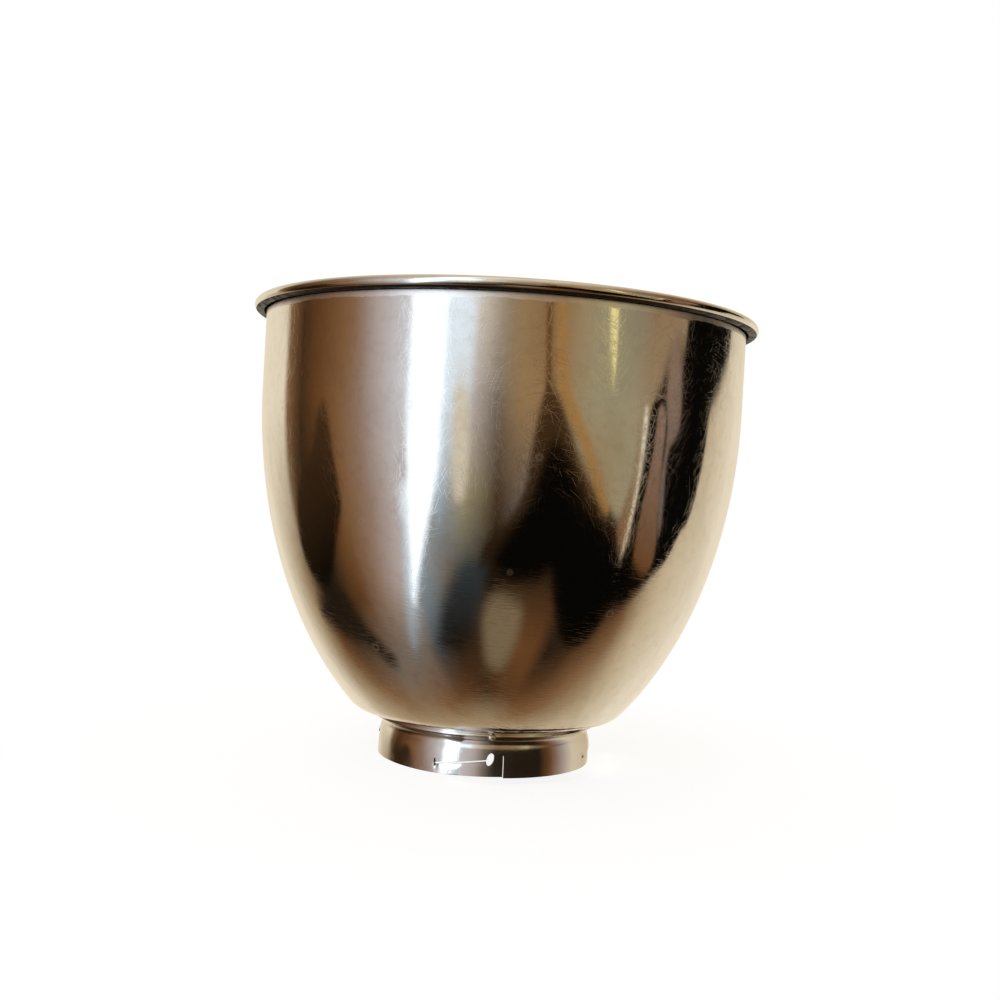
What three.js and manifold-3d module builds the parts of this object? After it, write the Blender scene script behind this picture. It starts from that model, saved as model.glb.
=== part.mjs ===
// A stand mixer's bowl: one deep drawn steel sheet with a rolled rim, standing on a pressed
// locking ring that twists onto the mixer's base plate. Millimetres, +Z up, the origin at the
// centre of the ring's foot. Angles run around the axis from the front, -Y, towards +X.
import * as THREE from 'three';
import { mergeVertices } from 'three/addons/utils/BufferGeometryUtils.js';
import Module from 'manifold-3d';

// Bowl
const OVERALL_HEIGHT = 192.5;
const RIM_RADIUS = 109.5;
const BOWL_RADIUS = 104.4;
const BOWL_SHEET = 0.8;
const BELLY_TOP = 155;
const BELLY_DEPTH = 162;
const KNUCKLE_RADIUS = 58.8;
const KNUCKLE_BEND = 3;
const SEAT_SLOPE = 0.31;
const SEAT_INNER_RADIUS = 44;
const SEAT_BEND = 3;
const FLOOR_RADIUS = 40;
const DOME_RADIUS = 30;
const DOME_RISE = 3;
const RIM_ROLL_HEIGHT = 4.8;
const RIM_ROLL_END = THREE.MathUtils.degToRad(-120);

// Locking ring
const RING_SHEET = 1;
const FOOT_RADIUS = 46.9;
const NECK_RADIUS = 45.2;
const SHOULDER_HEIGHT = 13.2;
const SHOULDER_POWER = 3.2;
const COVE_WIDTH = 6.8;
const COVE_HEIGHT = 4.05;
const COVE_END = THREE.MathUtils.degToRad(108);

// Locking tabs, cut from the ring's wall and pressed inwards; each angle is from the tab's own hole
const TAB_COUNT = 4;
const TAB_START = THREE.MathUtils.degToRad(-29);
const TAB_END = THREE.MathUtils.degToRad(6.8);
const TAB_BEND = THREE.MathUtils.degToRad(3);
const TAB_DEPTH = 1;
const TAB_LIFT = 0.3;
const RAMP_LOW = 4;
const RAMP_HIGH = 7;
const STOP_HEIGHT = 8.9;
const SLIT_WIDTH = 0.7;
const END_CUT = THREE.MathUtils.degToRad(0.6);
const HOLE_WIDTH = 3.2;
const HOLE_HEIGHT = 5;
const HOLE_CENTRE = 7.3;
const HOLE_SLANT = THREE.MathUtils.degToRad(25);

// Tack welds, one above each hole, in the groove between the ring's lip and the bowl
const WELD_NAMES = ['front', 'right', 'back', 'left'];
const WELD_RADII = [1.5, 0.7, 0.9];
const WELD_CENTRE_RADIUS = 51;
const WELD_CENTRE_HEIGHT = 17.4;

// Facets
const BOWL_SEGMENTS = 48;
const RING_SEGMENTS = 72;
const STATION_STEP = THREE.MathUtils.degToRad(2.5);

const polishedSteel = new THREE.MeshStandardMaterial({ color: 0xc9c1b4, roughness: 0.14, metalness: 1 });
const pressedSteel = new THREE.MeshStandardMaterial({ color: 0xbdb5aa, roughness: 0.2, metalness: 1 });
const weldMetal = new THREE.MeshStandardMaterial({ color: 0xa9a49c, roughness: 0.45, metalness: 1 });

const wasm = await Module();
wasm.setup();

function toSolid(geometry) {
  const bare = geometry.clone();
  bare.deleteAttribute('normal');
  bare.deleteAttribute('uv');
  const merged = mergeVertices(bare, 1e-4);
  const vertProperties = new Float32Array(merged.attributes.position.array);
  const triVerts = new Uint32Array(merged.index.array);
  return new wasm.Manifold(new wasm.Mesh({ numProp: 3, vertProperties, triVerts }));
}

function toGeometry(solid) {
  const mesh = solid.getMesh();
  const geometry = new THREE.BufferGeometry();
  geometry.setAttribute('position', new THREE.BufferAttribute(mesh.vertProperties, 3));
  geometry.setIndex(new THREE.BufferAttribute(mesh.triVerts, 1));
  geometry.computeVertexNormals();
  return geometry;
}

// The closed section of a sheet: its outer face, then its other face on the left of it, going back
function sheetSection(face, thickness) {
  const otherFace = face.map((point, i) => {
    const before = face[Math.max(i - 1, 0)];
    const after = face[Math.min(i + 1, face.length - 1)];
    const into = point.clone().sub(before).normalize();
    const out = after.clone().sub(point).normalize();
    const along = into.add(out).normalize();
    return new THREE.Vector2(point.x - along.y * thickness, point.y + along.x * thickness);
  });
  return [...face, ...otherFace.reverse()];
}

// A section of radius and height, turned about the Z axis
function turned(section, segments) {
  return new THREE.LatheGeometry(section, segments).rotateX(Math.PI / 2);
}

function joinCurves(curves) {
  const points = [];
  for (const [curve, steps] of curves) {
    for (const point of curve.getPoints(steps)) {
      if (points.length === 0 || point.distanceTo(points.at(-1)) > 0.01) points.push(point);
    }
  }
  return points;
}

function bellyAngle(radius) {
  return -Math.acos(radius / BOWL_RADIUS);
}

function bellyPoint(radius) {
  return new THREE.Vector2(radius, BELLY_TOP + BELLY_DEPTH * Math.sin(bellyAngle(radius)));
}

// The bowl's outer face, from the middle of the bottom, up the belly and around the rim's roll
function bowlFace() {
  const at = (radius, height) => new THREE.Vector2(radius, height);
  const knuckle = bellyPoint(KNUCKLE_RADIUS);
  const seatHeight = (radius) => knuckle.y - SEAT_SLOPE * (knuckle.x - radius);
  const floorHeight = seatHeight(SEAT_INNER_RADIUS);
  const seatStart = at(SEAT_INNER_RADIUS + SEAT_BEND, seatHeight(SEAT_INNER_RADIUS + SEAT_BEND));
  const seatEnd = at(knuckle.x - KNUCKLE_BEND, seatHeight(knuckle.x - KNUCKLE_BEND));
  const bellyStart = bellyPoint(KNUCKLE_RADIUS + KNUCKLE_BEND);

  const dome = new THREE.CubicBezierCurve(
    at(0, floorHeight + DOME_RISE),
    at(DOME_RADIUS / 2, floorHeight + DOME_RISE),
    at(DOME_RADIUS / 2, floorHeight),
    at(DOME_RADIUS, floorHeight),
  );
  const floorBend = new THREE.QuadraticBezierCurve(
    at(FLOOR_RADIUS, floorHeight),
    at(SEAT_INNER_RADIUS, floorHeight),
    seatStart,
  );
  const knuckleBend = new THREE.QuadraticBezierCurve(seatEnd, knuckle, bellyStart);
  const belly = new THREE.EllipseCurve(
    0, BELLY_TOP, BOWL_RADIUS, BELLY_DEPTH, bellyAngle(bellyStart.x), 0, false,
  );

  const rollWidth = RIM_RADIUS - BOWL_RADIUS + BOWL_SHEET;
  const rollCentre = at(RIM_RADIUS - rollWidth / 2, OVERALL_HEIGHT - RIM_ROLL_HEIGHT / 2);
  const roll = new THREE.EllipseCurve(
    rollCentre.x, rollCentre.y,
    rollWidth / 2 - BOWL_SHEET, RIM_ROLL_HEIGHT / 2 - BOWL_SHEET,
    Math.PI, RIM_ROLL_END, true,
  );
  return joinCurves([[dome, 5], [floorBend, 3], [knuckleBend, 4], [belly, 15], [roll, 10]]);
}

function makeBowlShell() {
  const section = sheetSection(bowlFace(), BOWL_SHEET);
  // the inside of the bottom ends on the axis too
  section.at(-1).x = 0;
  return turned(section, BOWL_SEGMENTS);
}

// The wall's outer radius, which leans in more and more towards the neck
function ringRadius(height) {
  const lean = Math.max(height / SHOULDER_HEIGHT, 0) ** SHOULDER_POWER;
  return THREE.MathUtils.lerp(FOOT_RADIUS, NECK_RADIUS, lean);
}

function plainRing() {
  const heights = [0, 0.3, 0.5, 0.7, 0.85, 1].map((share) => share * SHOULDER_HEIGHT);
  const wall = heights.map((height) => new THREE.Vector2(ringRadius(height), height));
  const cove = new THREE.EllipseCurve(
    NECK_RADIUS + COVE_WIDTH, SHOULDER_HEIGHT, COVE_WIDTH, COVE_HEIGHT, Math.PI, COVE_END, true,
  );
  const section = sheetSection([...wall, ...cove.getPoints(6).slice(1)], RING_SHEET);
  // the foot's inner corner lies flat on the ground
  section.at(-1).y = 0;
  section.push(section[0].clone());
  return toSolid(turned(section, RING_SEGMENTS));
}

// A strip of the ring's wall between two angles. shape gives, at an angle, how far the strip is
// pressed in, its lowest and highest edge, and how much thicker than the sheet it is on each side.
function wallStrip(startAngle, endAngle, shape) {
  const stations = Math.ceil((endAngle - startAngle) / STATION_STEP);
  const positions = [];
  const index = [];
  const quad = (a, b, c, d) => index.push(a, b, c, a, c, d);
  for (let i = 0; i <= stations; i += 1) {
    const angle = THREE.MathUtils.lerp(startAngle, endAngle, i / stations);
    const { pressed, low, high, spare } = shape(angle);
    const inset = pressed + RING_SHEET + spare;
    const corners = [
      [ringRadius(low) - inset, low],
      [ringRadius(low) - pressed + spare, low],
      [ringRadius(high) - pressed + spare, high],
      [ringRadius(high) - inset, high],
    ];
    for (const [radius, height] of corners) {
      positions.push(radius * Math.sin(angle), -radius * Math.cos(angle), height);
    }
    if (i === 0) continue;
    const here = 4 * i;
    for (let k = 0; k < 4; k += 1) {
      const next = (k + 1) % 4;
      quad(here - 4 + k, here + k, here + next, here - 4 + next);
    }
  }
  const last = 4 * stations;
  quad(0, 1, 2, 3);
  quad(last + 3, last + 2, last + 1, last);
  const geometry = new THREE.BufferGeometry();
  geometry.setAttribute('position', new THREE.Float32BufferAttribute(positions, 3));
  geometry.setIndex(index);
  return geometry;
}

// The middle of the sloping slit above the tab
function rampHeight(angle) {
  return THREE.MathUtils.mapLinear(angle, TAB_START, 0, RAMP_LOW, RAMP_HIGH);
}

// What is cut out of the wall: the tab's whole window, up to the far edge of its slit
function tabWindow() {
  const through = { pressed: 0, low: -1, spare: TAB_DEPTH };
  const ramp = wallStrip(TAB_START, TAB_END / 4, (angle) => (
    { ...through, high: rampHeight(angle) + SLIT_WIDTH / 2 }
  ));
  const stop = wallStrip(0, TAB_END, () => (
    { ...through, high: STOP_HEIGHT + SLIT_WIDTH / 2 }
  ));
  return [ramp, stop];
}

// The tab itself: a strip bent inwards from the wall, and what is cut from its top edge
function tabBlank() {
  return wallStrip(TAB_START - STATION_STEP / 2, TAB_END - END_CUT, (angle) => {
    const bent = THREE.MathUtils.smoothstep(angle, TAB_START, TAB_START + TAB_BEND);
    const spare = angle < TAB_START ? -RING_SHEET / 4 : 0;
    return { pressed: TAB_DEPTH * bent, low: TAB_LIFT, high: STOP_HEIGHT - SLIT_WIDTH / 2, spare };
  });
}

function tabRelief() {
  return wallStrip(TAB_START - STATION_STEP, 0, (angle) => (
    { pressed: 0, low: rampHeight(angle) - SLIT_WIDTH / 2, high: STOP_HEIGHT, spare: 2 * TAB_DEPTH }
  ));
}

function tabHole() {
  const length = 6 * TAB_DEPTH;
  return new THREE.CylinderGeometry(1, 1, length, 24)
    .scale(HOLE_WIDTH / 2, 1, HOLE_HEIGHT / 2)
    .rotateY(HOLE_SLANT)
    .translate(0, -FOOT_RADIUS, HOLE_CENTRE);
}

function makeBaseRing() {
  let ring = plainRing();
  for (let i = 0; i < TAB_COUNT; i += 1) {
    const turn = (2 * Math.PI * i) / TAB_COUNT;
    const placed = (geometry) => toSolid(geometry.rotateZ(turn));
    const tab = placed(tabBlank()).subtract(placed(tabRelief()));
    for (const cut of tabWindow()) ring = ring.subtract(placed(cut));
    ring = ring.add(tab).subtract(placed(tabHole()));
  }
  return toGeometry(ring);
}

function makeTackWeld(turn) {
  return new THREE.SphereGeometry(1, 12, 8)
    .rotateX(Math.PI / 2)
    .scale(...WELD_RADII)
    .translate(0, -WELD_CENTRE_RADIUS, WELD_CENTRE_HEIGHT)
    .rotateZ(turn);
}

function addPiece(group, name, geometry, material) {
  const mesh = new THREE.Mesh(geometry, material);
  mesh.name = name;
  group.add(mesh);
}

const bowl = new THREE.Group();
addPiece(bowl, 'bowl_shell', makeBowlShell(), polishedSteel);
addPiece(bowl, 'base_ring', makeBaseRing(), pressedSteel);
WELD_NAMES.forEach((side, i) => {
  const turn = (2 * Math.PI * i) / WELD_NAMES.length;
  addPiece(bowl, `tack_weld_${side}`, makeTackWeld(turn), weldMetal);
});

export default bowl;
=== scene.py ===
import math
import bpy
import numpy as np
from mathutils import Matrix, Vector, noise


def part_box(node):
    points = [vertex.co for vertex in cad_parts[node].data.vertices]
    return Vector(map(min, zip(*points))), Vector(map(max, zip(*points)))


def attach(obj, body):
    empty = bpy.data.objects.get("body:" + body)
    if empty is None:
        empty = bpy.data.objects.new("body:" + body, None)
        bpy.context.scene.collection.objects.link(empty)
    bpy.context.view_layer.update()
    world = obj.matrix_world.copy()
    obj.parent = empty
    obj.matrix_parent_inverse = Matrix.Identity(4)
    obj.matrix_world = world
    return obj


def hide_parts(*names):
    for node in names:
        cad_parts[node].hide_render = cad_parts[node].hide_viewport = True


# A stand mixer's bowl in polished steel: the shell with its rolled rim, the locking ring
# with its pressed tabs, and four tack welds. Metres, +Z up, the origin at the ring's foot.
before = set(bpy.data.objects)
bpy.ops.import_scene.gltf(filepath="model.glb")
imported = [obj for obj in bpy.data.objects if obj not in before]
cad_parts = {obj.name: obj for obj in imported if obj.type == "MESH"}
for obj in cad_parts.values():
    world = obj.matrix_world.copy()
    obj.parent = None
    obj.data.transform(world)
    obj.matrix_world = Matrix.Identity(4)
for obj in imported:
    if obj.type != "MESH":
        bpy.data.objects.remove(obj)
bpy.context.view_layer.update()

MM = 0.001
FULL_TURN = 2 * math.pi

# ---------------------------------------------------------------- sizes
# The frame gives the bowl's outer sizes; the rest are the proportions of the two pressings.
shell_low, shell_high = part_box("bowl_shell")

RIM_RADIUS = shell_high.x
OVERALL_HEIGHT = shell_high.z
BOTTOM_HEIGHT = shell_low.z
RIM_OVERHANG = 5.1 * MM
BOWL_RADIUS = RIM_RADIUS - RIM_OVERHANG
BOWL_SHEET = 0.8 * MM
BOWL_SEGMENTS = 256
BELLY_TOP = 155 * MM
BELLY_DEPTH = 162 * MM
KNUCKLE_RADIUS = 58.8 * MM
KNUCKLE_BEND = 1.8 * MM
SEAT_INNER_RADIUS = 44 * MM
SEAT_BEND = 3 * MM
FLAT_RADIUS = 40 * MM
DIMPLE_RADIUS = 30 * MM
DIMPLE_RISE = 3 * MM
ROLL_HEIGHT = 4.8 * MM
ROLL_END = math.radians(-110)
CREVICE_DEPTH = 0.8 * MM
# How far up the bead from the roll's foot the painted shade of the crevice reaches
PAINTED_SHADE_HEIGHT = 0.7 * MM

RING_SHEET = 1.0 * MM
FOOT_RADIUS = 46.9 * MM
NECK_RADIUS = 45.2 * MM
SHOULDER_HEIGHT = 13.2 * MM
SHOULDER_POWER = 3.2
COVE_WIDTH = 6.8 * MM
COVE_HEIGHT = 4.35 * MM
COVE_END = math.radians(108)
CUT_ROUNDING = 0.14 * MM

TAB_COUNT = 4
TAB_START = math.radians(-29)
TAB_END = math.radians(6.8)
NEXT_TAB_START = TAB_START + FULL_TURN / TAB_COUNT
TAB_DEPTH = 0.9 * MM
FOOT_CLEARANCE = 0.01 * MM
TAB_LIFT = 0.3 * MM
TAB_ROLL_DEPTH = 0.8 * MM
TAB_ROLL_HEIGHT = 2.6 * MM
CREASE_DEPTH = 0.35 * MM
CREASE_WIDTH = 0.9 * MM
CREASE_LENGTH = 1.5 * MM
RAMP_LOW = 4.0 * MM
RAMP_HIGH = 7.0 * MM
STOP_HEIGHT = 8.9 * MM
SLIT_WIDTH = 0.8 * MM
SHEAR_GAP = 0.06 * MM
SLIT_TAPER = math.radians(1.0)
CURL_WIDTH = 0.8 * MM
CURL_DEPTH = 0.12 * MM
HOLE_WIDTH = 3.2 * MM
HOLE_HEIGHT = 5.0 * MM
HOLE_CENTRE = 7.3 * MM
HOLE_LEAN = 0.45
HOLE_HALF_ANGLE = HOLE_WIDTH / 2 / FOOT_RADIUS
SAME_ANGLE = 1e-6

WELD_RADII = Vector((1.7, 1.1, 1.25)) * MM
WELD_CENTRE_RADIUS = 50.4 * MM
WELD_CENTRE_HEIGHT = 17.4 * MM

# The viewpoint, and the studio that turns with it
CAMERA_DISTANCE = 524 * MM
CAMERA_HEIGHT = 118.2 * MM
CAMERA_AZIMUTH = math.radians(-3.8)
CAMERA_PITCH = math.radians(-0.63)
CAMERA_YAW = math.radians(0.15)
CAMERA_ROLL = math.radians(3.16)
CAMERA_LENS_MM = 42.44
SENSOR_MM = 36.0


def lerp(a, b, share):
    return a + (b - a) * share


def smooth(share):
    share = min(max(share, 0.0), 1.0)
    return share * share * (3 - 2 * share)


def around(radius, angle, height):
    """A point by its radius, its angle from the front, -Y, towards +X, and its height."""
    return Vector((radius * math.sin(angle), -radius * math.cos(angle), height))


def srgb(red, green, blue):
    """A display colour, 0 to 255, as the linear colour that shaders take."""
    shares = [c / 255 for c in (red, green, blue)]
    linear = [c / 12.92 if c <= 0.04045 else ((c + 0.055) / 1.055) ** 2.4 for c in shares]
    return (*linear, 1.0)


# ---------------------------------------------------------------- mesh helpers
def bezier(points, steps):
    """Points along a Bezier curve of three or four control points."""
    made = []
    for i in range(steps + 1):
        row = list(points)
        while len(row) > 1:
            row = [a.lerp(b, i / steps) for a, b in zip(row, row[1:])]
        made.append(row[0])
    return made


def ellipse(centre, width, height, start, end, steps):
    made = []
    for i in range(steps + 1):
        angle = lerp(start, end, i / steps)
        made.append(centre + Vector((width * math.cos(angle), height * math.sin(angle))))
    return made


def join(*stretches):
    """One line of points from several that end where the next begins."""
    same_point = 0.005 * MM
    points = []
    for stretch in stretches:
        for point in stretch:
            if not points or (point - points[-1]).length > same_point:
                points.append(point)
    return points


def left_of(points):
    """The unit direction to the left of a line at each of its points."""
    made = []
    for i, point in enumerate(points):
        before = points[max(i - 1, 0)]
        after = points[min(i + 1, len(points) - 1)]
        steps = [(b - a).normalized() for a, b in ((before, point), (point, after)) if a != b]
        along = sum(steps, Vector((0, 0))).normalized()
        made.append(Vector((-along.y, along.x)))
    return made


def new_piece(name, vertices, faces, uvs=None, slots=None):
    """A smooth-shaded mesh object. uvs has one pair for each vertex of each face."""
    mesh = bpy.data.meshes.new(name)
    mesh.from_pydata(vertices, [], faces)
    if uvs:
        layer = mesh.uv_layers.new(name="surface")
        flat = [value for face in uvs for pair in face for value in pair]
        layer.data.foreach_set("uv", flat)
    if slots:
        mesh.polygons.foreach_set("material_index", slots)
    mesh.polygons.foreach_set("use_smooth", [True] * len(mesh.polygons))
    mesh.update()
    piece = bpy.data.objects.new(name, mesh)
    bpy.context.scene.collection.objects.link(piece)
    return piece


# ---------------------------------------------------------------- the bowl
def belly_point(radius):
    angle = -math.acos(radius / BOWL_RADIUS)
    return Vector((radius, BELLY_TOP + BELLY_DEPTH * math.sin(angle)))


def bowl_face():
    """The bowl's outer face: bottom, seat for the ring, belly, and the roll of the rim."""
    knuckle = belly_point(KNUCKLE_RADIUS)
    slope = (knuckle.y - BOTTOM_HEIGHT) / (knuckle.x - SEAT_INNER_RADIUS)

    def seat(radius):
        return Vector((radius, BOTTOM_HEIGHT + slope * (radius - SEAT_INNER_RADIUS)))

    middle = [
        Vector((0, BOTTOM_HEIGHT + DIMPLE_RISE)),
        Vector((DIMPLE_RADIUS / 2, BOTTOM_HEIGHT + DIMPLE_RISE)),
        Vector((DIMPLE_RADIUS / 2, BOTTOM_HEIGHT)),
        Vector((DIMPLE_RADIUS, BOTTOM_HEIGHT)),
    ]
    bend = [
        Vector((FLAT_RADIUS, BOTTOM_HEIGHT)),
        Vector((SEAT_INNER_RADIUS, BOTTOM_HEIGHT)),
        seat(SEAT_INNER_RADIUS + SEAT_BEND),
    ]
    belly_start = belly_point(KNUCKLE_RADIUS + KNUCKLE_BEND)
    corner = [seat(KNUCKLE_RADIUS - KNUCKLE_BEND), knuckle, belly_start]
    start_angle = -math.acos(belly_start.x / BOWL_RADIUS)
    origin = Vector((0, BELLY_TOP))
    belly = ellipse(origin, BOWL_RADIUS, BELLY_DEPTH, start_angle, 0, 72)
    roll_top = OVERALL_HEIGHT - ROLL_HEIGHT / 2
    crevice_height = OVERALL_HEIGHT - ROLL_HEIGHT - CREVICE_DEPTH
    wall = [Vector((BOWL_RADIUS, lerp(BELLY_TOP, crevice_height, i / 8))) for i in range(9)]
    wall.append(Vector((BOWL_RADIUS, roll_top)))
    roll_width = RIM_RADIUS - BOWL_RADIUS + BOWL_SHEET
    roll = ellipse(
        Vector((RIM_RADIUS - roll_width / 2, roll_top)),
        roll_width / 2 - BOWL_SHEET,
        ROLL_HEIGHT / 2 - BOWL_SHEET,
        math.pi,
        ROLL_END,
        40,
    )
    return join(bezier(middle, 16), bezier(bend, 8), bezier(corner, 10), belly, wall, roll)


def rounded_edge(outer, inner):
    """The sheet's free edge, between its two faces, a little flatter than a half circle."""
    flatness, steps = 0.8, 6
    middle = (outer + inner) / 2
    across = (outer - inner) / 2
    ahead = Vector((-across.y, across.x))
    made = []
    for i in range(1, steps):
        angle = math.pi * i / steps
        made.append(middle + across * math.cos(angle) + ahead * math.sin(angle) * flatness)
    return made


def make_bowl():
    """The sheet's section turned about the axis, in material slots for outside, painted shade in
    the crevice, inside.
    """
    outside, crevice, inside = range(3)
    face = bowl_face()
    other = [p + n * BOWL_SHEET for p, n in zip(face, left_of(face))]
    other[0].x = 0
    edge = rounded_edge(face[-1], other[-1])
    back = other[::-1]
    section = face + edge + back
    last = len(section) - 1
    roll_top = OVERALL_HEIGHT - ROLL_HEIGHT / 2
    roll_foot = OVERALL_HEIGHT - ROLL_HEIGHT
    back_from = len(face) + len(edge)
    crevice_from = next(i for i, p in enumerate(face) if p.y >= roll_foot - CREVICE_DEPTH)
    crevice_end = back_from + next(
        i for i, p in enumerate(back) if p.y > roll_foot + PAINTED_SHADE_HEIGHT
    )
    inside_from = back_from + next(
        i for i, p in enumerate(back) if p.x < BOWL_RADIUS and p.y <= roll_top
    )

    # the crevice slot is painted shade: the wall's top under the roll, the roll's hollow and the
    # bead's lower edge
    def finish_of(i):
        if i >= inside_from:
            return inside
        return crevice if crevice_from <= i < crevice_end else outside

    lengths = [0.0]
    for a, b in zip(section, section[1:]):
        lengths.append(lengths[-1] + (b - a).length)

    def place(i, k):
        return (FULL_TURN * BOWL_RADIUS * (k / BOWL_SEGMENTS), lengths[i])

    vertices = [(0, 0, section[0].y)]
    for point in section[1:-1]:
        for k in range(BOWL_SEGMENTS):
            vertices.append(around(point.x, FULL_TURN * (k / BOWL_SEGMENTS + 0.5), point.y))
    vertices.append((0, 0, section[-1].y))
    tip = len(vertices) - 1

    def vertex(i, k):
        if i == 0:
            return 0
        return tip if i == last else 1 + (i - 1) * BOWL_SEGMENTS + k % BOWL_SEGMENTS

    faces, uvs, slots = [], [], []
    for i in range(last):
        for k in range(BOWL_SEGMENTS):
            corners = [(i, k), (i, k + 1), (i + 1, k + 1), (i + 1, k)]
            if i == 0:
                corners.pop(0)
            if i == last - 1:
                corners.pop(2)
            faces.append([vertex(*corner) for corner in corners])
            uvs.append([place(*corner) for corner in corners])
            slots.append(finish_of(i))
    return new_piece("bowl_sheet", vertices, faces, uvs, slots)


# ---------------------------------------------------------------- the locking ring
def ring_radius(height):
    """The wall's outer radius, which leans in more and more towards the neck."""
    return lerp(FOOT_RADIUS, NECK_RADIUS, max(height / SHOULDER_HEIGHT, 0) ** SHOULDER_POWER)


def spread(start, end, count):
    return [lerp(start, end, i / count) for i in range(count)]


def tab_columns():
    """Angles of the ring's columns over one tab and the plain wall after it."""
    crease_end = TAB_START + 4 * CREASE_WIDTH / FOOT_RADIUS
    curl_end = TAB_END + CURL_WIDTH / FOOT_RADIUS
    tab_edge = TAB_END - SHEAR_GAP / FOOT_RADIUS
    hole = [-HOLE_HALF_ANGLE * math.cos(math.pi * i / 20) for i in range(20)]
    columns = spread(TAB_START, crease_end, 16)
    columns += spread(crease_end, -HOLE_HALF_ANGLE, 36) + hole
    columns += [HOLE_HALF_ANGLE, HOLE_HALF_ANGLE * 1.02]
    columns += spread(HOLE_HALF_ANGLE * 1.5, tab_edge, 6) + [tab_edge]
    columns += spread(TAB_END, curl_end, 6)
    columns += spread(curl_end, NEXT_TAB_START, 40)
    return columns


def is_tab(angle):
    return TAB_START + SAME_ANGLE < angle < TAB_END - SAME_ANGLE


def slit_middle(angle):
    """The slit's height: it climbs to the hole and runs level from there."""
    if angle > 0:
        return STOP_HEIGHT
    return lerp(RAMP_LOW, RAMP_HIGH, (angle - TAB_START) / -TAB_START)


def window(angle):
    """The wall's lowest height and the tab's highest at an angle from the tab's hole."""
    if angle >= TAB_END - SAME_ANGLE:
        share = (angle - TAB_END) / (NEXT_TAB_START - TAB_END)
        split = lerp(STOP_HEIGHT + SHEAR_GAP / 2, RAMP_LOW, smooth(2 * share))
        return split, split
    half_slit = SHEAR_GAP / 2
    if angle <= 0:
        half_slit = SLIT_WIDTH / 2 * min(1.0, (angle - TAB_START) / SLIT_TAPER)
    wall_low, tab_high = slit_middle(angle) + half_slit, slit_middle(angle) - half_slit
    if abs(angle) <= HOLE_HALF_ANGLE + SAME_ANGLE:
        share = angle / HOLE_HALF_ANGLE
        hole_middle = HOLE_CENTRE + HOLE_LEAN * HOLE_WIDTH / 2 * share
        reach = HOLE_HEIGHT / 2 * math.sqrt(max(0.0, 1 - share * share))
        wall_low = max(wall_low, hole_middle + reach)
        tab_high = min(tab_high, hole_middle - reach) if angle < 0 else hole_middle - reach
    return wall_low, tab_high


def tab_dent(angle, height):
    """How far a tab is pressed in: more and more along it, creased at its root, its top rolled."""
    along = (angle - TAB_START) / (TAB_END - TAB_START)
    lean = TAB_DEPTH * along
    near_slit = smooth(1 - (slit_middle(angle) - height) / TAB_ROLL_HEIGHT)
    before_hole = smooth(0.5 - angle * FOOT_RADIUS / HOLE_WIDTH)
    roll = TAB_ROLL_DEPTH * smooth(3 * along) * near_slit * before_hole
    across = (angle - TAB_START) * FOOT_RADIUS / CREASE_WIDTH
    below = (RAMP_LOW - height) / CREASE_LENGTH
    crease = CREASE_DEPTH * smooth(across) * math.exp(-max(across - 1, 0) ** 2)
    return lean + roll + crease * math.exp(-below * below)


def in_crease(angle, height):
    """Whether a place is in the pinched corner at the slit's start, which gets painted shade."""
    across = (angle - TAB_START) * FOOT_RADIUS / CREASE_WIDTH
    return -0.1 < across < 0.8 and abs(height - RAMP_LOW) < CREASE_LENGTH * 0.8


def edge_curl(angle, height):
    """How far the wall's edge is dragged in where the tab's free end was sheared from it."""
    across = max(0.0, angle - TAB_END) * FOOT_RADIUS
    over = max(0.0, height - STOP_HEIGHT - SHEAR_GAP / 2)
    if angle < 0:
        return 0.0
    return CURL_DEPTH * max(0.0, 1 - math.hypot(across, over) / CURL_WIDTH) ** 2


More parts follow.
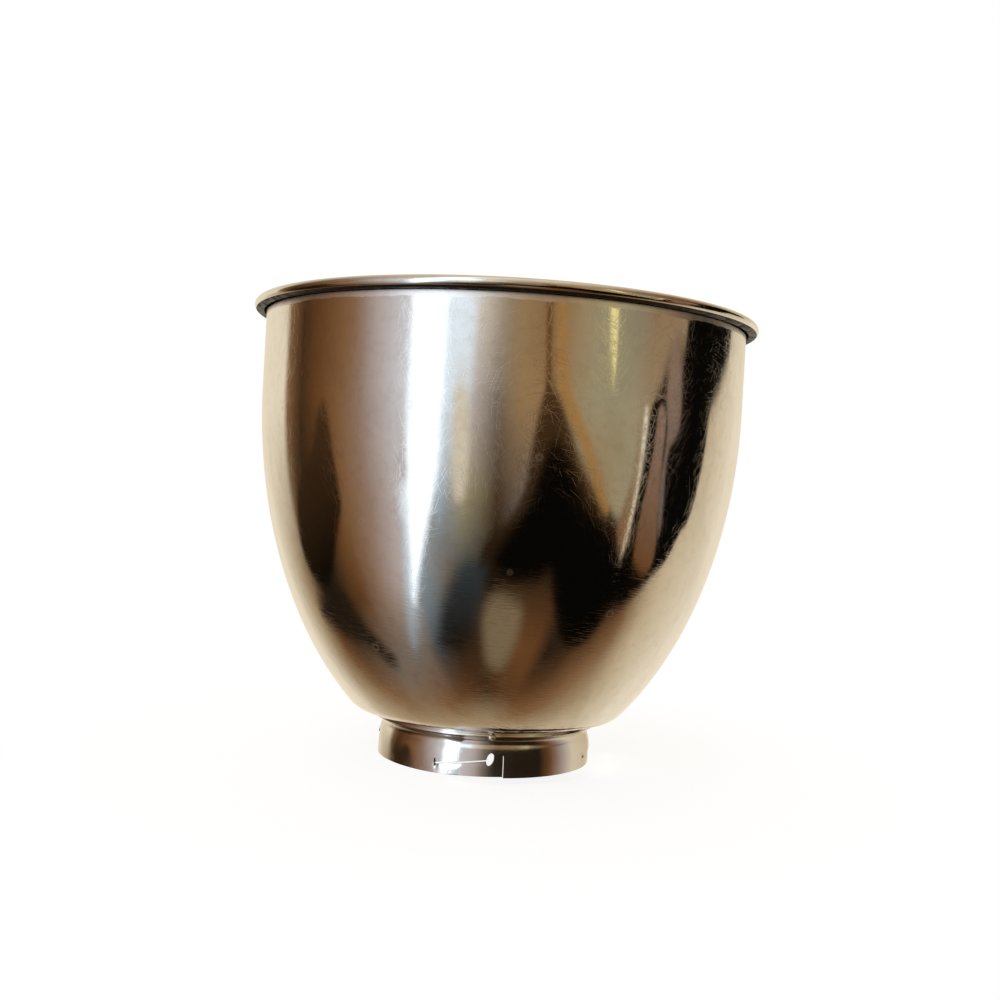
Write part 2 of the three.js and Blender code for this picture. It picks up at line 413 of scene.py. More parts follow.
def make_ring():
    """A grid of columns round the wall: rows below the slit, rows above it, and the cove."""
    below, curl_rows, above = 10, 5, 8
    cove = ellipse(
        Vector((NECK_RADIUS + COVE_WIDTH, SHOULDER_HEIGHT)),
        COVE_WIDTH,
        COVE_HEIGHT,
        math.pi,
        COVE_END,
        16,
    )[1:]
    vertices, places, columns = [], [], []

    def add(radius, angle, height):
        vertices.append(around(radius, angle, height))
        places.append((angle * NECK_RADIUS, height))
        return len(vertices) - 1

    for tab in range(TAB_COUNT):
        turn = FULL_TURN * tab / TAB_COUNT
        for angle in tab_columns():
            wall_low, tab_high = window(angle)
            on_tab = is_tab(angle)
            # the tab's foot lifts as it leans in; the rest of the foot is a hair off the ground
            climb = (angle - TAB_START) / (TAB_END - TAB_START) if on_tab else 0.0
            foot = FOOT_CLEARANCE + TAB_LIFT * climb
            lower = []
            for i in range(below + 1):
                height = lerp(foot, tab_high, i / below)
                inset = tab_dent(angle, height) if on_tab else edge_curl(angle, height)
                lower.append(add(ring_radius(height) - inset, angle + turn, height))
            upper = [] if on_tab else [lower[-1]]
            curl_top = wall_low + CURL_WIDTH
            heights = spread(wall_low, curl_top, curl_rows)
            heights += spread(curl_top, SHOULDER_HEIGHT, above) + [SHOULDER_HEIGHT]
            for height in heights if on_tab else heights[1:]:
                inset = edge_curl(angle, height)
                upper.append(add(ring_radius(height) - inset, angle + turn, height))
            for point in cove:
                upper.append(add(point.x, angle + turn, point.y))
            columns.append((angle, lower, upper, on_tab))

    faces, slots = [], []
    for i, (angle, lower, upper, on_tab) in enumerate(columns):
        _, next_lower, next_upper, next_on_tab = columns[(i + 1) % len(columns)]
        strips = [(upper, next_upper)]
        if next_on_tab or not on_tab:
            strips.append((lower, next_lower))
        for here, there in strips:
            for k in range(len(here) - 1):
                faces.append([here[k], there[k], there[k + 1], here[k + 1]])
                # slot 1 puts painted shade in the crease at each slit's start
                slots.append(int(in_crease(angle, vertices[here[k]].z)))

    whole = FULL_TURN * NECK_RADIUS
    uvs = []
    for face in faces:
        corners = [places[v] for v in face]
        first = corners[0][0]
        uvs.append([(u + whole if first - u > whole / 2 else u, v) for u, v in corners])
    ring = new_piece("locking_ring", vertices, faces, uvs, slots)

    thickness = ring.modifiers.new("sheet", "SOLIDIFY")
    thickness.thickness = RING_SHEET
    thickness.offset = -1
    thickness.use_even_offset = True
    rounding = ring.modifiers.new("cut edges", "BEVEL")
    rounding.width = CUT_ROUNDING
    rounding.segments = 2
    rounding.limit_method = "ANGLE"
    rounding.angle_limit = math.radians(50)
    return ring


# ---------------------------------------------------------------- the tack welds
def make_weld(name, turn, seed):
    """A small uneven bead of weld metal where the ring's lip meets the bowl."""
    columns, rows = 40, 24
    vertices, faces = [], []
    centre = Vector((0, -WELD_CENTRE_RADIUS, WELD_CENTRE_HEIGHT))
    spin = Matrix.Rotation(turn, 3, "Z")
    for i in range(rows + 1):
        for k in range(columns):
            polar = math.pi * i / rows
            angle = FULL_TURN * k / columns
            direction = Vector((
                math.sin(polar) * math.cos(angle),
                math.sin(polar) * math.sin(angle),
                math.cos(polar),
            ))
            swell = 1 + 0.12 * noise.noise(direction * 1.5 + Vector((seed, 0, 0)))
            swell += 0.03 * noise.noise(direction * 5 + Vector((0, seed, 0)))
            offset = Vector(a * b for a, b in zip(direction, WELD_RADII)) * swell
            vertices.append(spin @ (centre + offset))
    for i in range(rows):
        for k in range(columns):
            after = (k + 1) % columns
            here, below = i * columns, (i + 1) * columns
            faces.append([here + k, below + k, below + after, here + after])
    return new_piece(name, vertices, faces)


bowl = make_bowl()
ring = make_ring()
weld_names = ["tack_weld_front", "tack_weld_right", "tack_weld_back", "tack_weld_left"]
welds = [
    make_weld(f"{name}_bead", FULL_TURN * i / len(weld_names), seed=3.1 * i)
    for i, name in enumerate(weld_names)
]


# ---------------------------------------------------------------- materials
class Finish:
    """A material's node tree, built with short calls. A value may be a number or a socket."""

    def __init__(self, name):
        self.material = bpy.data.materials.new(name)
        self.material.use_nodes = True
        self.tree = self.material.node_tree
        self.shader = self.tree.nodes["Principled BSDF"]
        self.places = {}

    def put(self, socket, value):
        if isinstance(value, bpy.types.NodeSocket):
            self.tree.links.new(value, socket)
        else:
            socket.default_value = value

    def node(self, kind, inputs, output=0, **settings):
        made = self.tree.nodes.new(kind)
        for name, value in settings.items():
            setattr(made, name, value)
        for name, value in inputs.items():
            self.put(made.inputs[name], value)
        return made.outputs[output]

    def math(self, operation, *values):
        made = self.tree.nodes.new("ShaderNodeMath")
        made.operation = operation
        for socket, value in zip(made.inputs, values):
            self.put(socket, value)
        return made.outputs[0]

    def ramp(self, value, low, high):
        """0 up to low, 1 from high on, smooth between."""
        return self.node(
            "ShaderNodeMapRange",
            {"Value": value, "From Min": low, "From Max": high},
            interpolation_type="SMOOTHSTEP",
        )

    def bent_place(self, warp):
        """Places on the sheet in metres, pushed about within a width of warp to curve lines."""
        if warp not in self.places:
            place = self.node("ShaderNodeUVMap", {}, uv_map="surface")
            bend = self.node(
                "ShaderNodeTexNoise", {"Vector": place, "Scale": 22.0, "Detail": 1.0}, output=1
            )
            centred = self.node(
                "ShaderNodeVectorMath", {0: bend, 1: (0.5, 0.5, 0.5)}, operation="SUBTRACT"
            )
            scaled = self.node(
                "ShaderNodeVectorMath", {0: centred, "Scale": warp}, operation="SCALE"
            )
            self.places[warp] = self.node(
                "ShaderNodeVectorMath", {0: place, 1: scaled}, operation="ADD"
            )
        return self.places[warp]

    def surface(self, turn, along, across, warp):
        """Bent places, turned and then stretched along and across."""
        place = self.bent_place(warp)
        turned = self.node("ShaderNodeVectorRotate", {"Vector": place, "Angle": turn})
        return self.node(
            "ShaderNodeVectorMath", {0: turned, 1: (along, across, 1.0)}, operation="MULTIPLY"
        )

    def noise(self, place, scale, detail=2.0):
        return self.node(
            "ShaderNodeTexNoise", {"Vector": place, "Scale": scale, "Detail": detail}
        )

    def solid_place(self):
        return self.node("ShaderNodeTexCoord", {}, output=3)

    def scratches(self, turn, spacing, length, low, high, warp=0.012):
        """Hairlines in one direction: the crests of a noise drawn out along it."""
        place = self.surface(turn, along=1 / length, across=1 / spacing, warp=warp)
        return self.ramp(self.noise(place, 1.0, detail=1.0), low, high)

    def total(self, values):
        amount = values[0]
        for value in values[1:]:
            amount = self.math("ADD", amount, value)
        return amount

    def bump(self, height, distance, normal=None):
        inputs = {"Height": height, "Distance": distance, "Strength": 1.0}
        if normal:
            inputs["Normal"] = normal
        return self.node("ShaderNodeBump", inputs)

    def set(self, **inputs):
        for name, value in inputs.items():
            self.put(self.shader.inputs[name.replace("_", " ")], value)

    def weighted(self, base, *terms):
        """A base amount plus each value times its weight."""
        return self.total([base] + [self.math("MULTIPLY", *term) for term in terms])

    def mix(self, share, first, second):
        return self.node(
            "ShaderNodeMix",
            {"Factor": share, 6: first, 7: second},
            output=2,
            data_type="RGBA",
        )


def polished_outside():
    """Mirror polish dulled by use: hairlines every way, a brushed belly, smears and dried drops."""
    f = Finish("polished_outside")
    solid = f.solid_place()
    height = f.node("ShaderNodeSeparateXYZ", {"Vector": solid}, output=2)

    worn = f.ramp(f.noise(solid, 14.0, 3.0), 0.36, 0.60)
    hairlines = [
        f.scratches(math.radians(turn), 0.36 * MM, 14 * MM, 0.64, 0.74, warp=0.02)
        for turn in (15, 44, 72, 100, 129, 160)
    ]
    brushed = f.scratches(math.radians(4), 0.4 * MM, 9 * MM, 0.52, 0.70, warp=0.003)
    lower = f.ramp(height, 0.115, 0.055)
    upper = f.ramp(height, 0.07, 0.13)
    hairline_height = f.math("MULTIPLY", f.total(hairlines), f.math("ADD", upper, 0.25))
    brushed_height = f.math("MULTIPLY", brushed, f.math("ADD", lower, 0.1))
    waves = f.bump(f.noise(solid, 26.0, 1.0), 0.06 * MM)
    fine = f.bump(hairline_height, 0.0035 * MM, waves)
    normal = f.bump(brushed_height, 0.007 * MM, fine)

    # dried drops: pale rings on a few cells only
    drop = {"Vector": solid, "Scale": 125.0, "Randomness": 1.0}
    radius = f.node("ShaderNodeTexVoronoi", drop, output=0)
    chance = f.node("ShaderNodeTexVoronoi", drop, output=1)
    chosen = f.ramp(f.node("ShaderNodeSeparateColor", {"Color": chance}), 0.90, 0.93)
    ring_of_drop = f.math("MULTIPLY", f.ramp(radius, 0.10, 0.17), f.ramp(radius, 0.27, 0.2))
    spots = f.math("MULTIPLY", ring_of_drop, chosen)

    smears = f.ramp(
        f.noise(f.surface(math.radians(70), along=16.0, across=55.0, warp=0.05), 1.0, 4.0),
        0.44, 0.74,
    )
    # the satin band that the polishing wheel left under the rim
    edge = f.math("ADD", height, f.math("MULTIPLY", f.noise(solid, 90.0, 3.0), 2.6 * MM))
    band_low = OVERALL_HEIGHT - 6.1 * MM
    band = f.ramp(edge, band_low, band_low + 0.5 * MM)
    under_rim = f.ramp(height, OVERALL_HEIGHT - 4.6 * MM, OVERALL_HEIGHT - 5.0 * MM)
    band = f.math("MULTIPLY", band, under_rim)

    roughness = f.weighted(0.035, (worn, 0.03), (smears, 0.04), (spots, 0.14), (band, 0.28))
    steel = f.mix(smears, srgb(223, 221, 217), srgb(215, 213, 208))
    steel = f.mix(band, steel, srgb(240, 239, 236))
    flecks = f.ramp(f.noise(solid, 230.0, 4.0), 0.45, 0.75)
    steel = f.mix(f.math("MULTIPLY", flecks, 0.16), steel, srgb(176, 166, 150))
    f.set(Base_Color=steel, Metallic=1.0, Roughness=roughness, Normal=normal)
    f.set(Coat_Weight=0.02, Coat_Roughness=0.35)
    return f.material


def satin_inside():
    """The inside, washed and whisked for years: circular marks round the axis, more matt."""
    f = Finish("satin_inside")
    solid = f.solid_place()
    worn = f.ramp(f.noise(solid, 18.0, 3.0), 0.3, 0.65)
    swirls = [
        f.scratches(math.radians(turn), 0.4 * MM, 22 * MM, 0.58, 0.72) for turn in (-7, 0, 6, 14)
    ]
    crossing = [
        f.scratches(math.radians(turn), 0.5 * MM, 12 * MM, 0.64, 0.74) for turn in (48, 96, 139)
    ]
    waves = f.bump(f.noise(solid, 26.0, 1.0), 0.10 * MM)
    swirled = f.bump(f.total(swirls), 0.010 * MM, waves)
    normal = f.bump(f.total(crossing), 0.008 * MM, swirled)
    roughness = f.weighted(0.17, (worn, 0.09))
    steel = f.mix(worn, srgb(221, 219, 215), srgb(208, 205, 199))
    f.set(Base_Color=steel, Metallic=1.0, Roughness=roughness, Normal=normal)
    return f.material


def crevice_painted_shade():
    """Painted shade for the hollow of the rim's roll and the gap under it, and for the creases at
    the tabs' slits; darker in patches.
    """
    f = Finish("crevice_painted_shade")
    patches = f.ramp(f.noise(f.solid_place(), 240.0, 3.0), 0.35, 0.7)
    colour = f.mix(patches, srgb(26, 20, 15), srgb(52, 43, 33))
    f.set(Base_Color=colour, Metallic=0.6, Roughness=f.weighted(0.4, (patches, 0.3)))
    return f.material


def pressed_ring():
    """The pressed ring: drawn marks round it, scuffs at the foot, duller than the bowl."""
    f = Finish("pressed_ring")
    solid = f.solid_place()
    height = f.node("ShaderNodeSeparateXYZ", {"Vector": solid}, output=2)
    worn = f.ramp(f.noise(solid, 40.0, 3.0), 0.35, 0.65)
    scuffed = f.math("ADD", f.ramp(height, 6 * MM, 0.5 * MM), 0.25)
    drawn = f.scratches(0.0, 0.3 * MM, 9 * MM, 0.5, 0.7, warp=0.002)
    hairlines = [
        f.scratches(math.radians(turn), 0.35 * MM, 4 * MM, 0.62, 0.74) for turn in (35, 120)
    ]
    pits = f.ramp(f.noise(solid, 700.0, 1.0), 0.68, 0.78)
    dents = f.bump(f.noise(solid, 110.0, 2.0), 0.06 * MM)
    lined = f.bump(drawn, 0.004 * MM, dents)
    scratched = f.bump(f.math("MULTIPLY", f.total(hairlines), scuffed), 0.008 * MM, lined)
    normal = f.bump(pits, -0.02 * MM, scratched)
    roughness = f.weighted(0.1, (worn, 0.1), (scuffed, 0.05))
    steel = f.mix(worn, srgb(219, 216, 211), srgb(205, 200, 193))
    f.set(Base_Color=steel, Metallic=1.0, Roughness=roughness, Normal=normal)
    f.set(Coat_Weight=0.04, Coat_Roughness=0.4)
    return f.material


def weld_with_painted_glint():
    """Weld metal: satin, rippled, with patches of straw-coloured heat tint; its near-white tone
    elsewhere is partly a painted glint.
    """
    f = Finish("weld_with_painted_glint")
    solid = f.solid_place()
    ripples = f.noise(solid, 900.0, 2.0)
    tint = f.ramp(f.noise(solid, 500.0, 2.0), 0.4, 0.7)
    # the near-white is partly a painted glint on the bead; the straw tone is heat tint
    colour = f.mix(tint, srgb(244, 243, 241), srgb(214, 205, 190))
    normal = f.bump(ripples, 0.03 * MM)
    roughness = f.weighted(0.24, (tint, 0.14))
    f.set(Base_Color=colour, Metallic=1.0, Roughness=roughness, Normal=normal)
    return f.material


outside_finish = polished_outside()
# the dark crevice material is painted shade, in the rim's hollow and the tabs' creases
painted_shade = crevice_painted_shade()
for finish in (outside_finish, painted_shade, satin_inside()):
    bowl.data.materials.append(finish)
for finish in (pressed_ring(), painted_shade):
    ring.data.materials.append(finish)
weld_finish = weld_with_painted_glint()
for weld in welds:
    weld.data.materials.append(weld_finish)

for piece, node, slot in [
    (bowl, "bowl_shell", "bowl_steel"),
    (ring, "base_ring", "ring_steel"),
    *[(weld, name, "weld_steel") for weld, name in zip(welds, weld_names)],
]:
    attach(piece, "root")
    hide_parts(node)


# ---------------------------------------------------------------- studio
# Polished steel shows what stands round it, so the studio is a large unseen dome, painted by
# azimuth (0 behind the camera, positive to its right) and elevation, both in degrees. Each
# ring of the dome has an elevation and its tones by azimuth; soft-edged cards lie on top.
DOME_RADIUS = 8.0
DOME_STEP = 0.5
STUDIO_FLOOR_RADIUS = 6.0
FLOOR_FADE = (80 * MM, 200 * MM)
RING_CARD_RADIUS = 56 * MM
RING_CARD_HEIGHTS = (-14 * MM, 15.5 * MM)
RING_CARD_SPAN = (-14, 104)
DOME_GLOW = 1.4

CREAM = (217, 205, 183)
EDGE_CREAM = (204, 192, 170)
SAND = (187, 169, 140)
TAN = (150, 129, 99)
OLIVE = (147, 137, 109)
BRONZE = (143, 114, 78)
GOLD = (156, 116, 66)
BROWN = (122, 88, 58)
CHESTNUT = (98, 64, 36)
UMBER = (62, 42, 24)
SOOT = (31, 24, 16)
BLACK = (7, 6, 4)
ROSE = (136, 112, 96)
MAUVE = (172, 161, 158)
LILAC = (192, 190, 196)
STEEL_BLUE = (130, 142, 150)
SLATE = (54, 60, 63)
STONE = (108, 98, 88)
SNOW = (226, 230, 232)
DAYLIGHT = (234, 244, 255)
LAMPLIGHT = (246, 232, 160)

DOME_RINGS = [
    (-90, [(0, TAN)]),
    (-76, [
        (-150, SAND), (-110, TAN), (-80, BROWN), (-45, CHESTNUT), (0, UMBER), (55, CHESTNUT),
        (90, BROWN), (110, TAN), (140, SAND),
    ]),
    (-56, [
        (-145, SAND), (-112, BROWN), (-85, STONE), (-52, STONE), (-42, SLATE), (-25, SOOT),
        (0, UMBER), (22, CHESTNUT), (36, CHESTNUT), (48, SOOT), (62, UMBER), (82, BROWN),
        (104, TAN), (125, SAND),
    ]),
    (-36, [
        (-150, CREAM), (-130, TAN), (-118, CHESTNUT), (-105, SOOT), (-93, UMBER),
        (-80, CHESTNUT), (-67, ROSE), (-52, MAUVE), (-40, STEEL_BLUE), (-26, STONE),
        (-15, SLATE), (0, SOOT), (76, UMBER), (88, BROWN), (103, SAND), (140, CREAM),
    ]),
    (-19, [
        (-148, CREAM), (-125, TAN), (-111, SOOT), (-98, SOOT), (-86, CHESTNUT), (-76, BROWN),
        (-64, ROSE), (-50, MAUVE), (-27, STEEL_BLUE), (-16, OLIVE), (0, UMBER), (14, STONE),
        (45, BRONZE), (60, OLIVE), (100, SAND), (140, CREAM),
    ]),
    (3, [
        (-170, EDGE_CREAM), (-140, CREAM), (-121, CREAM), (-117, BROWN), (-105, UMBER),
        (-92, CHESTNUT), (-78, BROWN), (-67, ROSE), (-56, MAUVE), (-48, LILAC), (-26, SNOW),
        (-12, MAUVE), (-2, STONE), (8, BRONZE), (22, BRONZE), (40, OLIVE), (60, OLIVE),
        (70, TAN), (110, SAND), (140, CREAM), (170, EDGE_CREAM),
    ]),
    (16, [
        (-170, EDGE_CREAM), (-122, CREAM), (-118, BROWN), (-106, UMBER), (-88, CHESTNUT),
        (-72, BROWN), (-60, MAUVE), (-46, LILAC), (-24, SNOW), (-8, CREAM), (4, TAN),
        (20, BROWN), (30, BRONZE), (44, OLIVE), (62, STONE), (72, BROWN), (84, CHESTNUT),
        (100, BROWN), (135, SAND), (170, EDGE_CREAM),
    ]),
    (45, [
        (-150, SAND), (-100, STONE), (-60, MAUVE), (-25, SNOW), (0, MAUVE), (40, TAN),
        (80, BROWN), (110, BROWN), (150, SAND),
    ]),
    (90, [(0, CREAM)]),
]

# The tones of the low strip round the locking ring, by azimuth
RING_CARD_TONES = [
    (-14, LILAC), (-5, MAUVE), (1, STONE), (7, SOOT), (36, SOOT), (44, CHESTNUT), (50, ROSE),
    (57, MAUVE), (66, CREAM), (104, SAND),
]


def ring_colours(azimuths, stops):
    """Linear colours at some azimuths, from tones by azimuth that close on themselves behind."""
    angles = [angle for angle, _ in stops]
    colours = np.array([srgb(*colour)[:3] for _, colour in stops])
    channels = [np.interp(azimuths, angles, c, period=360) for c in colours.T]
    return np.stack(channels, axis=-1)


def rounded(outline, steps=5):
    """A closed outline through the same corners, as a smooth Catmull-Rom curve."""
    made = []
    count = len(outline)
    for i in range(count):
        before, here, there, after = (np.array(outline[(i + k) % count]) for k in (-1, 0, 1, 2))
        for k in range(steps):
            t = k / steps
            pull = (there - before) * t + (2 * before - 5 * here + 4 * there - after) * t * t
            pull = pull + (3 * here - before - 3 * there + after) * t ** 3
            made.append(tuple(here + pull / 2))
    return made


def card_share(azimuths, elevations, outline, softness):
    """1 inside an outline, 0 outside it, with a soft edge as wide as softness, in degrees."""
    inside = np.zeros(azimuths.shape, bool)
    distance = np.full(azimuths.shape, 1e9)
    squeeze = np.cos(np.radians(np.clip(elevations, -80, 80)))
    for (a0, e0), (a1, e1) in zip(outline, outline[1:] + outline[:1]):
        if e0 != e1:
            crosses = (e0 > elevations) != (e1 > elevations)
            meeting = a0 + (elevations - e0) * (a1 - a0) / (e1 - e0)
            inside ^= crosses & (azimuths < meeting)
        dx, dy = (a1 - a0) * squeeze, e1 - e0
        px, py = (azimuths - a0) * squeeze, elevations - e0
        share = np.clip((px * dx + py * dy) / (dx * dx + dy * dy + 1e-9), 0, 1)
        distance = np.minimum(distance, np.hypot(px - share * dx, py - share * dy))
    signed = np.where(inside, distance, -distance)
    share = np.clip(signed / softness + 0.5, 0, 1)
    return (share * share * (3 - 2 * share))[..., None]


# Each card: its tone at the top and at the bottom, its brightness, the softness of its edge in
# degrees, and its outline of (azimuth, elevation). A later card lies over an earlier one.
DOME_CARDS = {
    "left_shade": (SOOT, SOOT, 1.0, 5, [
        (-124, -26), (-98, -30), (-91, -39), (-82, -52), (-90, -53), (-98, -44), (-112, -36),
    ]),
    "left_box": (UMBER, BLACK, 1.0, 3, [
        (-119, -18), (-113, -11), (-103, -8), (-96, -5), (-91, 1), (-86, 0), (-82, -9),
        (-81, -17), (-88, -22), (-97, -26), (-107, -27), (-115, -24),
    ]),
    "wall_beside_window": (DAYLIGHT, STEEL_BLUE, 1.45, 6, [
        (-32, 44), (-15, 44), (-13, 12), (-18, -2), (-24, -16), (-30, -20),
    ]),
    "pale_panel": (CREAM, CREAM, 0.85, 4, [
        (-21, 4), (-15, 2), (-14, -10), (-16, -19), (-21, -17),
    ]),
    "fold_dark": (BROWN, CHESTNUT, 0.9, 1.5, [
        (15, 34), (17.5, 34), (19, 14), (21, 5), (19, 4), (16.5, 14),
    ]),
    "fold_gold": (GOLD, GOLD, 1.0, 1.5, [
        (19.5, 34), (23, 34), (25, 12), (29, 4), (25, 4), (21, 13),
    ]),
    "lamp_on_wall": (LAMPLIGHT, LAMPLIGHT, 0.8, 1.6, [
        (45.5, 34), (49.5, 34), (50.5, 11), (50.5, 6), (48.5, 7), (46.5, 11),
    ]),
    "dark_drape": (UMBER, BLACK, 1.0, 3, [
        (19, 5), (24, 4), (31, -3), (38, -10), (47, -15), (57, -18), (72, -22), (92, -25),
        (84, -33), (75, -37), (74, -43), (67, -50), (56, -51), (44, -46), (36, -40),
        (31, -35), (24, -38), (8, -39), (-4, -41), (-8, -35), (-3, -28), (6, -24),
        (12, -17), (14, -9), (16, -1),
    ]),
    "drape_shadow": (BLACK, BLACK, 0.8, 5, [
        (24, -6), (32, -9), (42, -17), (56, -21), (74, -25), (88, -27), (84, -34), (74, -39),
        (72, -46), (66, -49), (55, -50), (44, -45), (36, -39), (31, -35), (22, -38),
        (8, -38), (0, -34), (6, -28), (15, -20), (19, -12),
    ]),
    "drape_foot": (SLATE, SOOT, 0.7, 7, [
        (-4, -37), (-10, -46), (-16, -55), (-28, -58), (-38, -56), (-32, -46), (-20, -37),
        (-10, -36),
    ]),
    "gold_edge": (GOLD, GOLD, 0.95, 1.8, [
        (25, 9), (32, 3), (43, -7), (55, -18), (49, -17), (38, -7), (28, 1),
    ]),
    "wall_end": (TAN, BROWN, 0.9, 2.5, [
        (64, 2), (69, 1), (70, -24), (62, -21), (64, -10),
    ]),
    "wall_end_light": (CREAM, SAND, 1.0, 1.2, [
        (66.8, 1), (69, 0), (69.5, -25), (67.5, -22),
    ]),
    "black_curtain": (BLACK, BLACK, 1.0, 1.6, [
        (70, 2), (76, 6), (84, 8), (90, 9), (91, 24), (118, 30), (129, 10), (120, 6),
        (111, 4), (109, -2), (107, -12), (103, -15), (99, -21), (90, -27), (80, -28),
        (72, -27), (69, -14),
    ]),
    "curtain_fold_left": (ROSE, CHESTNUT, 1.0, 1.6, [
        (75, 3), (79, 2), (80, -7), (84, -15), (90, -22), (88, -26), (80, -26), (76, -24),
        (73, -15), (74, -4),
    ]),
    "curtain_fold_right": (ROSE, STONE, 0.9, 1.6, [
        (79, 6), (84, 8), (88, 6), (88, 0), (83, -4), (84, -10), (89, -18), (85, -16),
        (81, -9), (81, -1),
    ]),
    "cushion": (TAN, TAN, 0.55, 6, [
        (2, -43), (13, -44), (20, -47), (20, -58), (13, -66), (-1, -64), (-5, -54), (-4, -47),
    ]),
    "window_tail": (DAYLIGHT, STEEL_BLUE, 0.9, 5, [
        (-46, -16), (-33, -16), (-37, -28), (-44, -38), (-51, -48), (-60, -54), (-62, -52),
        (-55, -44), (-50, -34), (-47, -25),
    ]),
    "window": (DAYLIGHT, DAYLIGHT, 1.5, 5, [
        (-42, 70), (-27, 70), (-27, -2), (-29, -15), (-35, -26), (-41, -34), (-46, -40),
        (-49, -42), (-45, -33), (-43, -24), (-42, -10),
    ]),
}


def paint_dome():
    azimuths, elevations = np.meshgrid(
        np.arange(-180, 180, DOME_STEP),
        np.arange(-90, 90 + DOME_STEP, DOME_STEP),
    )
    colours = ring_colours(azimuths, DOME_RINGS[0][1])
    for (low, _), (high, stops) in zip(DOME_RINGS, DOME_RINGS[1:]):
        share = np.clip((elevations - low) / (high - low), 0, 1)[..., None]
        colours = colours + (ring_colours(azimuths, stops) - colours) * share
    for top, bottom, brightness, softness, outline in DOME_CARDS.values():
        heights = [elevation for _, elevation in outline]
        climb = (elevations - min(heights)) / (max(heights) - min(heights))
        climb = np.clip(climb, 0, 1)[..., None]
        top, bottom = (np.array(srgb(*colour)[:3]) for colour in (top, bottom))
        paint = (bottom + (top - bottom) * climb) * brightness
        share = card_share(azimuths, elevations, rounded(outline), softness)
        colours = colours + (paint - colours) * share
    return azimuths, elevations, colours


def make_backdrop(name, places, colours, closed):
    """An unseen glowing sheet from a grid of places and the colour at each."""
    rows, columns = places.shape[:2]
    faces = [
        (
            row * columns + column,
            row * columns + (column + 1) % columns,
            (row + 1) * columns + (column + 1) % columns,
            (row + 1) * columns + column,
        )
        for row in range(rows - 1)
        for column in range(columns if closed else columns - 1)
    ]
    backdrop = new_piece(name, places.reshape(-1, 3).tolist(), faces)
    paint = backdrop.data.color_attributes.new("paint", "FLOAT_COLOR", "POINT")
    rgba = np.concatenate([colours, np.ones((rows, columns, 1))], axis=-1)
    paint.data.foreach_set("color", rgba.reshape(-1))

    f = Finish(f"{name}_paint")
    f.tree.nodes.remove(f.shader)
    colour = f.node("ShaderNodeAttribute", {}, attribute_name="paint")
    light = f.node("ShaderNodeEmission", {"Color": colour, "Strength": DOME_GLOW})
    f.tree.links.new(light, f.tree.nodes["Material Output"].inputs["Surface"])
    backdrop.data.materials.append(f.material)
    backdrop.visible_camera = False
    backdrop.visible_shadow = False
    return backdrop


def make_dome():
    azimuths, elevations, colours = paint_dome()
    turn = np.radians(azimuths) + CAMERA_AZIMUTH
    tilt = np.radians(elevations)
    directions = np.stack(
        [np.cos(tilt) * np.sin(turn), -np.cos(tilt) * np.cos(turn), np.sin(tilt)], axis=-1
    )
    centre = np.array((0, 0, OVERALL_HEIGHT / 2))
    return make_backdrop("studio_dome", centre + DOME_RADIUS * directions, colours, True)


def make_ring_card():
    """A low strip close round the ring, which gives its wall darker things to reflect."""
    step = 2.0
    azimuths, heights = np.meshgrid(np.arange(*RING_CARD_SPAN, step), RING_CARD_HEIGHTS)
    turn = np.radians(azimuths) + CAMERA_AZIMUTH
    places = np.stack([np.sin(turn), -np.cos(turn), heights / RING_CARD_RADIUS], axis=-1)
    colours = ring_colours(azimuths, RING_CARD_TONES)
    return make_backdrop("ring_card", RING_CARD_RADIUS * places, colours, False)


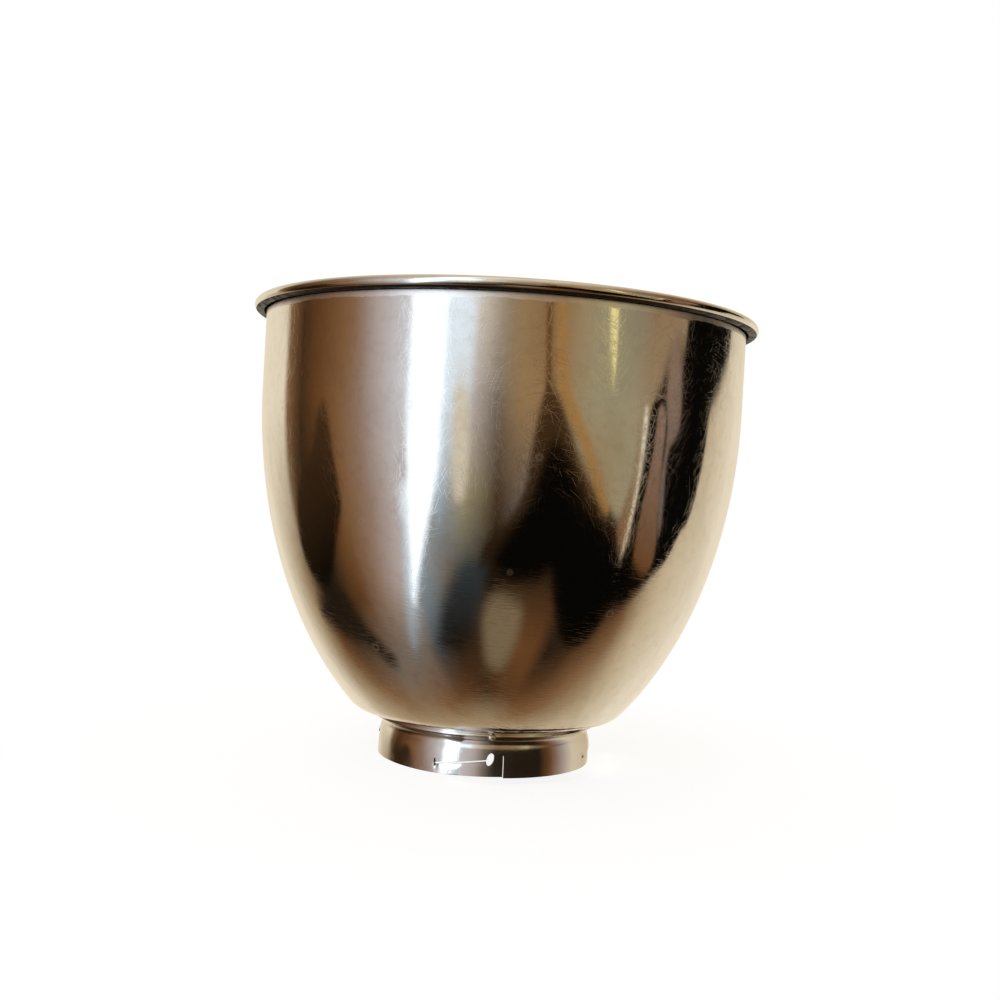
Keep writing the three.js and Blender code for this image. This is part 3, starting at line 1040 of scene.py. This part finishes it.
def make_floor():
    """A pale glowing disc that only the camera sees, a little darker round the foot: its glow is
    painted dimmer there, and a grey diffuse layer there takes the bowl's real shadow.
    """
    corners = 64
    rim = [around(STUDIO_FLOOR_RADIUS, FULL_TURN * k / corners, 0) for k in range(corners)]
    floor = new_piece("studio_floor", rim, [range(corners)])

    f = Finish("pale_floor")
    f.tree.nodes.remove(f.shader)
    distance = f.node("ShaderNodeVectorMath", {0: f.solid_place()}, output=1, operation="LENGTH")
    paper = f.node("ShaderNodeBsdfDiffuse", {"Color": srgb(130, 130, 130)})
    glow = f.node("ShaderNodeEmission", {"Strength": 0.88})
    near = f.tree.nodes.new("ShaderNodeAddShader")
    f.tree.links.new(paper, near.inputs[0])
    f.tree.links.new(glow, near.inputs[1])
    far = f.node("ShaderNodeEmission", {"Strength": 1.0})
    # inside the fade the floor's glow is painted dimmer round the foot, as shade
    fade = f.ramp(distance, *FLOOR_FADE)
    mixed = f.node("ShaderNodeMixShader", {"Fac": fade, 1: near.outputs[0], 2: far})
    f.tree.links.new(mixed, f.tree.nodes["Material Output"].inputs["Surface"])
    floor.data.materials.append(f.material)
    floor.visible_glossy = False
    floor.visible_diffuse = False
    floor.visible_shadow = False
    return floor


make_dome()
make_ring_card()
make_floor()

world = bpy.data.worlds.new("white_surround")
world.use_nodes = True
world.node_tree.nodes["Background"].inputs["Color"].default_value = (1, 1, 1, 1)
bpy.context.scene.world = world
bpy.context.scene.view_settings.view_transform = "Standard"


# ---------------------------------------------------------------- camera
def make_camera():
    data = bpy.data.cameras.new("camera")
    data.sensor_width = SENSOR_MM
    data.lens = CAMERA_LENS_MM
    data.clip_start = 0.01
    data.clip_end = 100
    camera = bpy.data.objects.new("camera", data)
    bpy.context.scene.collection.objects.link(camera)
    heading = CAMERA_YAW - CAMERA_AZIMUTH
    level_right = Vector((math.cos(heading), -math.sin(heading), 0))
    level_ahead = Vector((math.sin(heading), math.cos(heading), 0))
    ahead = level_ahead * math.cos(CAMERA_PITCH) + Vector((0, 0, math.sin(CAMERA_PITCH)))
    level_up = level_right.cross(ahead)
    right = level_right * math.cos(CAMERA_ROLL) + level_up * math.sin(CAMERA_ROLL)
    up = level_up * math.cos(CAMERA_ROLL) - level_right * math.sin(CAMERA_ROLL)
    turn = Matrix((right, up, -ahead)).transposed().to_4x4()
    place = around(CAMERA_DISTANCE, CAMERA_AZIMUTH, CAMERA_HEIGHT)
    camera.matrix_world = Matrix.Translation(place) @ turn
    return camera


bpy.context.scene.camera = make_camera()
